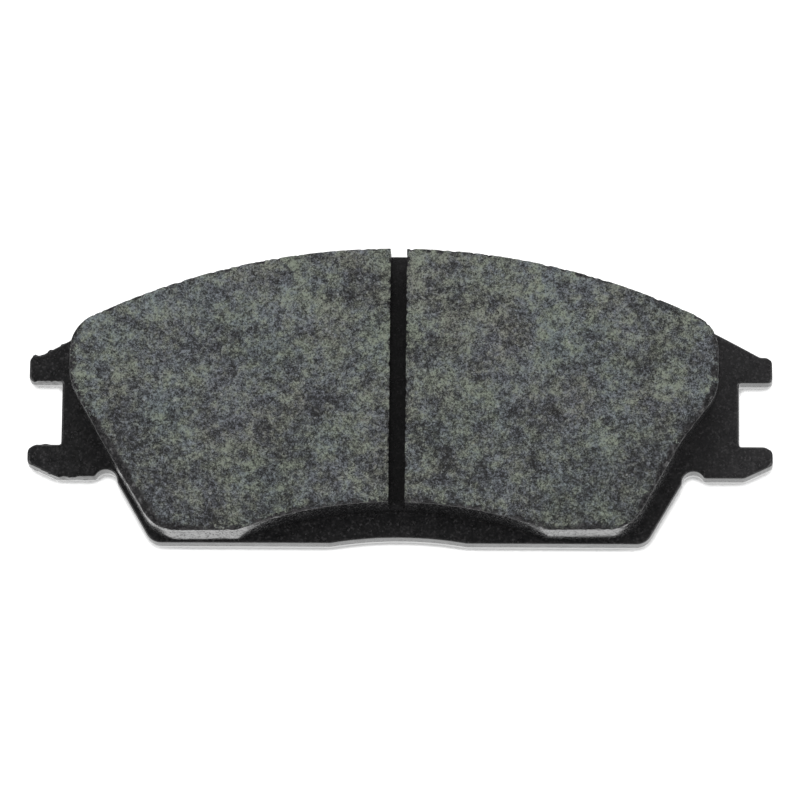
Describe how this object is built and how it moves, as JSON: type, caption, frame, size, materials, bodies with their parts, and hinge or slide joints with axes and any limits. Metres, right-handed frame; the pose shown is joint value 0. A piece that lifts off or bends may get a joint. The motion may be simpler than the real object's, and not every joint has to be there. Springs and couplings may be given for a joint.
{
  "type": "brake pad",
  "caption": "Disc brake pad: a flat steel plate with a pair of prongs at each end, bonded to a crescent-shaped friction block with one cross slot, and a thin noise shim on the back.",
  "frame": {"origin": "middle of the back face, the face the caliper piston presses, on the noise shim's outer rubber; it is the bottom centre of the whole part", "axes": "+X along the pad's length, +Y away from the brake disc's axis towards the arched outer edge, +Z out of the friction face towards the disc"},
  "size_m": [0.137, 0.0536, 0.0162],
  "materials": {
    "plate_paint": "semi-gloss black stoving paint on blanked steel",
    "bond_film": "cured phenolic adhesive",
    "lining_underlayer": "moulded insulating layer, painted black over its edge",
    "friction_material": "ground friction face with mineral and metal grains, black painted sides",
    "shim_glue": "pressure-sensitive adhesive",
    "shim_rubber": "fine matt nitrile rubber coat",
    "shim_steel": "cold-rolled sheet"
  },
  "bodies": {
    "root": {"backing_plate": "plate_paint", "adhesive_film": "bond_film", "underlayer": "lining_underlayer", "friction_lining": "friction_material", "shim_adhesive": "shim_glue", "shim_inner_rubber": "shim_rubber", "shim_steel_core": "shim_steel", "shim_outer_rubber": "shim_rubber"}
  },
  "joints": []
}
